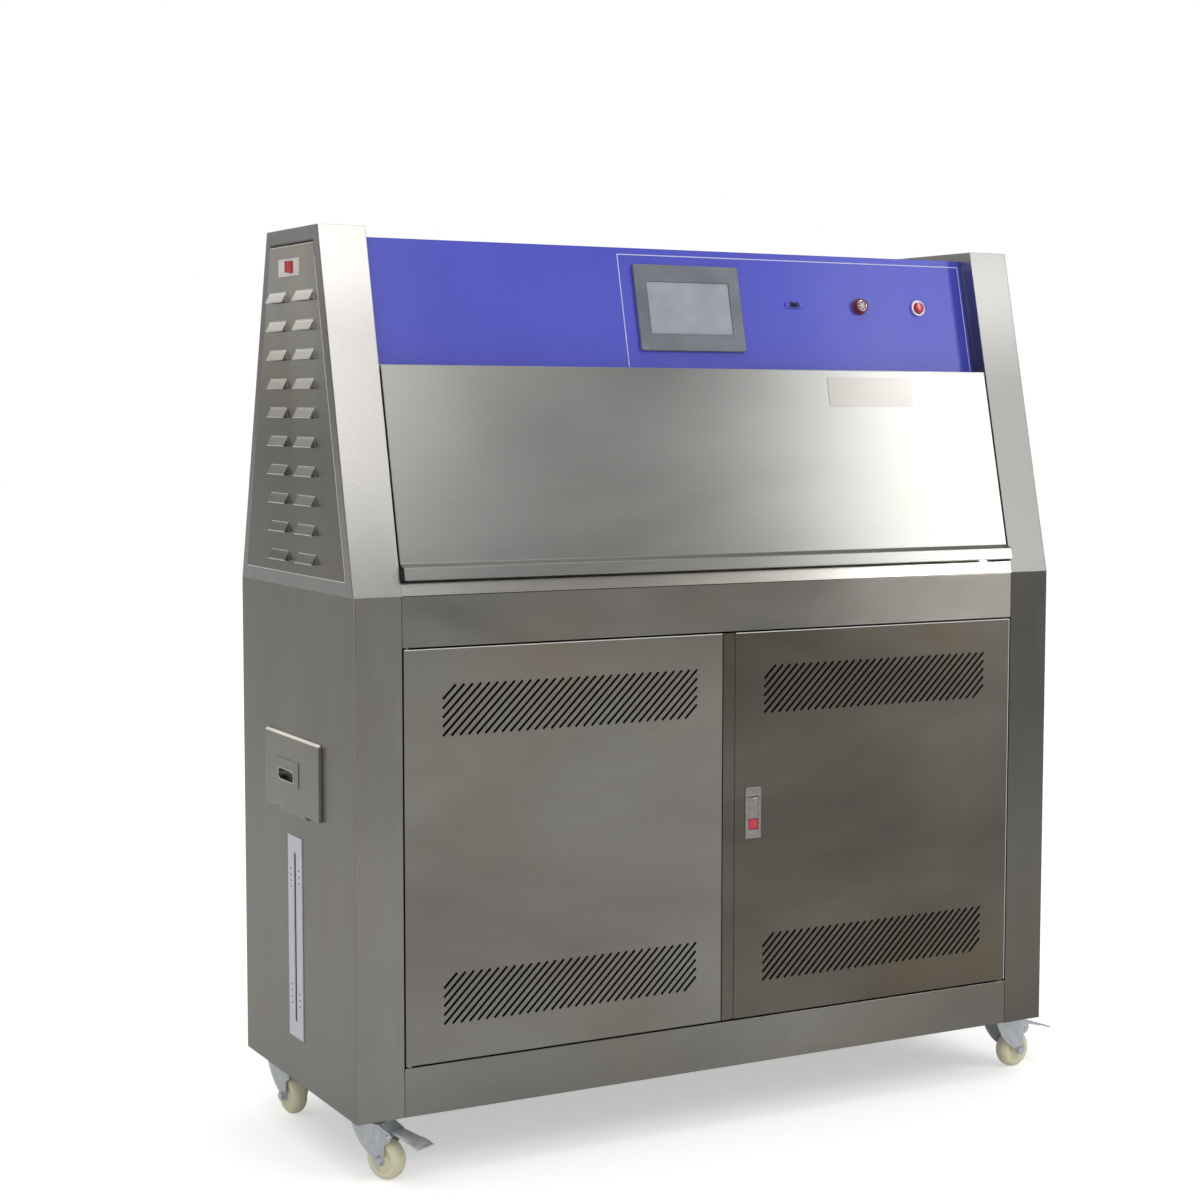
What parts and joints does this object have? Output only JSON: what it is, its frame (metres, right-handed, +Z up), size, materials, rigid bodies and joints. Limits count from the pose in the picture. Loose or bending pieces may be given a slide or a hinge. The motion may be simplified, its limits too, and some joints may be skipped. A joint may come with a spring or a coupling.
{
  "type": "environmental test chamber",
  "caption": "Free-standing ultraviolet ageing chamber: stainless cabinet on casters with sloped specimen doors, side towers, recessed control panel and a cupboard below.",
  "frame": {"origin": "on the floor, below the middle of the cabinet's footprint", "axes": "+X to the right as seen from the front, +Y from front to back, +Z up; the front faces -Y"},
  "size_m": [1.3768, 0.5812, 1.46],
  "materials": {
    "casing_steel": "vertical brushed stainless sheet",
    "door_steel": "brushed stainless sheet",
    "chamber_steel": "satin stainless sheet",
    "panel_blue": "printed blue overlay, satin",
    "display_case": "dark moulded bezel",
    "display_glass": "dark display glass over a panel that is off",
    "black_plastic": "black moulded",
    "red_plastic": "red moulded",
    "bright_ring": "polished metal ring",
    "seal_rubber": "black silicone seal",
    "heater_sheath": "oxidised stainless sheath",
    "holder_aluminium": "anodised sheet",
    "lamp_glass": "phosphor coated tube",
    "white_plastic": "white moulded",
    "clear_tube": "clear tube",
    "pump_paint": "machine blue paint",
    "blower_zinc": "grey enamel",
    "electrical_grey": "light grey fittings",
    "zinc_plate": "zinc plated pressed steel",
    "port_brass": "turned brass",
    "pull_nickel": "pressed stainless cup",
    "latch_chrome": "satin chrome casting",
    "wheel_nylon": "cream nylon"
  },
  "bodies": {
    "cabinet": {"side_panel_left": "casing_steel", "side_panel_right": "casing_steel", "rear_panel": "casing_steel", "base_tray": "casing_steel", "deck_plate": "chamber_steel", "front_beam": "casing_steel", "kick_panel": "casing_steel", "tower_left": "casing_steel", "tower_right": "casing_steel", "louvre_panel_left": "casing_steel", "louvre_panel_right": "casing_steel", "control_panel": "panel_blue", "display_bezel": "display_case", "display_screen": "display_glass", "usb_socket": "black_plastic", "buzzer": "red_plastic", "power_bezel": "bright_ring", "top_cover": "casing_steel", "top_brackets": "casing_steel", "chamber_frames": "chamber_steel", "door_seals": "seal_rubber", "chamber_ceiling": "chamber_steel", "water_pan": "chamber_steel", "pan_heater": "heater_sheath", "holder_rails": "chamber_steel", "specimen_holders": "holder_aluminium", "uv_lamps": "lamp_glass", "lamp_sockets": "white_plastic", "water_tank": "chamber_steel", "sight_tube": "clear_tube", "gauge_plate": "white_plastic", "pump": "pump_paint", "blower": "blower_zinc", "electrical_plate": "electrical_grey", "breaker_body": "white_plastic", "caster_plates": "zinc_plate", "rear_ports": "port_brass"},
    "chamber_door_front": {"front_door": "door_steel"},
    "chamber_door_rear": {"rear_door": "door_steel"},
    "cabinet_door_left": {"door_left": "door_steel"},
    "cabinet_door_right": {"door_right": "door_steel", "latch_frame": "latch_chrome"},
    "latch_handle": {"latch_lever": "latch_chrome"},
    "latch_release": {"latch_button": "red_plastic"},
    "power_push": {"power_cap": "red_plastic"},
    "fill_hatch": {"fill_flap": "door_steel", "flap_pull": "pull_nickel"},
    "mains_toggle": {"breaker_toggle": "red_plastic"},
    "swivel_front_left": {"caster_fork_front_left": "zinc_plate"},
    "wheel_front_left": {"caster_wheel_front_left": "wheel_nylon"},
    "brake_front_left": {"caster_pedal_front_left": "zinc_plate"},
    "swivel_front_right": {"caster_fork_front_right": "zinc_plate"},
    "wheel_front_right": {"caster_wheel_front_right": "wheel_nylon"},
    "brake_front_right": {"caster_pedal_front_right": "zinc_plate"},
    "swivel_rear_left": {"caster_fork_rear_left": "zinc_plate"},
    "wheel_rear_left": {"caster_wheel_rear_left": "wheel_nylon"},
    "brake_rear_left": {"caster_pedal_rear_left": "zinc_plate"},
    "swivel_rear_right": {"caster_fork_rear_right": "zinc_plate"},
    "wheel_rear_right": {"caster_wheel_rear_right": "wheel_nylon"},
    "brake_rear_right": {"caster_pedal_rear_right": "zinc_plate"}
  },
  "joints": [
    {"name": "front_door_hinge", "type": "hinge", "parent": "cabinet", "child": "chamber_door_front", "pos_m": [0, -0.15926, 1.24227], "axis": [-1, 0, 0], "range_deg": [0, 95]},
    {"name": "rear_door_hinge", "type": "hinge", "parent": "cabinet", "child": "chamber_door_rear", "pos_m": [0, 0.15638, 1.24149], "axis": [1, 0, 0], "range_deg": [0, 95]},
    {"name": "left_door_hinge", "type": "hinge", "parent": "cabinet", "child": "cabinet_door_left", "pos_m": [-0.562, -0.244, 0.499], "axis": [0, 0, -1], "range_deg": [0, 105]},
    {"name": "right_door_hinge", "type": "hinge", "parent": "cabinet", "child": "cabinet_door_right", "pos_m": [0.562, -0.244, 0.499], "axis": [0, 0, 1], "range_deg": [0, 105]},
    {"name": "latch_lever_hinge", "type": "hinge", "parent": "cabinet_door_right", "child": "latch_handle", "pos_m": [0.0475, -0.248, 0.5429], "axis": [-1, 0, 0], "range_deg": [0, 40]},
    {"name": "latch_button_slide", "type": "slide", "parent": "cabinet_door_right", "child": "latch_release", "axis": [0, 1, 0], "range_m": [0, 0.004], "stiffness_N_per_m": 400, "springref_m": -0.003},
    {"name": "power_button_slide", "type": "slide", "parent": "cabinet", "child": "power_push", "axis": [0, 0.9722, -0.2344], "range_m": [0, 0.004], "stiffness_N_per_m": 500, "springref_m": -0.004},
    {"name": "mains_toggle_hinge", "type": "hinge", "parent": "cabinet", "child": "mains_toggle", "pos_m": [-0.645, -0.0088, 1.4], "axis": [0, 0, 1], "range_deg": [0, 48]},
    {"name": "fill_flap_hinge", "type": "hinge", "parent": "cabinet", "child": "fill_hatch", "pos_m": [-0.6529, 0.006, 0.5391], "axis": [0, -1, 0], "range_deg": [0, 45]},
    {"name": "swivel_spin_front_left", "type": "hinge", "parent": "cabinet", "child": "swivel_front_left", "pos_m": [-0.605, -0.195, 0.085], "axis": [0, 0, 1], "continuous": true},
    {"name": "wheel_spin_front_left", "type": "hinge", "parent": "swivel_front_left", "child": "wheel_front_left", "pos_m": [-0.59046, -0.22124, 0.0325], "axis": [0.8746, 0.4848, 0], "continuous": true},
    {"name": "brake_pedal_front_left", "type": "hinge", "parent": "swivel_front_left", "child": "brake_front_left", "pos_m": [-0.5827, -0.23523, 0.072], "axis": [0.8746, 0.4848, 0], "range_deg": [0, 12]},
    {"name": "swivel_spin_front_right", "type": "hinge", "parent": "cabinet", "child": "swivel_front_right", "pos_m": [0.605, -0.195, 0.085], "axis": [0, 0, 1], "continuous": true},
    {"name": "wheel_spin_front_right", "type": "hinge", "parent": "swivel_front_right", "child": "wheel_front_right", "pos_m": [0.63478, -0.19134, 0.0325], "axis": [-0.1219, 0.9925, 0], "continuous": true},
    {"name": "brake_pedal_front_right", "type": "hinge", "parent": "swivel_front_right", "child": "brake_front_right", "pos_m": [0.65066, -0.18939, 0.072], "axis": [-0.1219, 0.9925, 0], "range_deg": [0, 12]},
    {"name": "swivel_spin_rear_left", "type": "hinge", "parent": "cabinet", "child": "swivel_rear_left", "pos_m": [-0.605, 0.195, 0.085], "axis": [0, 0, 1], "continuous": true},
    {"name": "wheel_spin_rear_left", "type": "hinge", "parent": "swivel_rear_left", "child": "wheel_rear_left", "pos_m": [-0.60083, 0.16529, 0.0325], "axis": [0.9903, 0.1392, 0], "continuous": true},
    {"name": "brake_pedal_rear_left", "type": "hinge", "parent": "swivel_rear_left", "child": "brake_rear_left", "pos_m": [-0.5986, 0.14945, 0.072], "axis": [0.9903, 0.1392, 0], "range_deg": [0, 12]},
    {"name": "swivel_spin_rear_right", "type": "hinge", "parent": "cabinet", "child": "swivel_rear_right", "pos_m": [0.605, 0.195, 0.085], "axis": [0, 0, 1], "continuous": true},
    {"name": "wheel_spin_rear_right", "type": "hinge", "parent": "swivel_rear_right", "child": "wheel_rear_right", "pos_m": [0.63098, 0.21, 0.0325], "axis": [-0.5, 0.866, 0], "continuous": true},
    {"name": "brake_pedal_rear_right", "type": "hinge", "parent": "swivel_rear_right", "child": "brake_rear_right", "pos_m": [0.64484, 0.218, 0.072], "axis": [-0.5, 0.866, 0], "range_deg": [0, 12]}
  ]
}
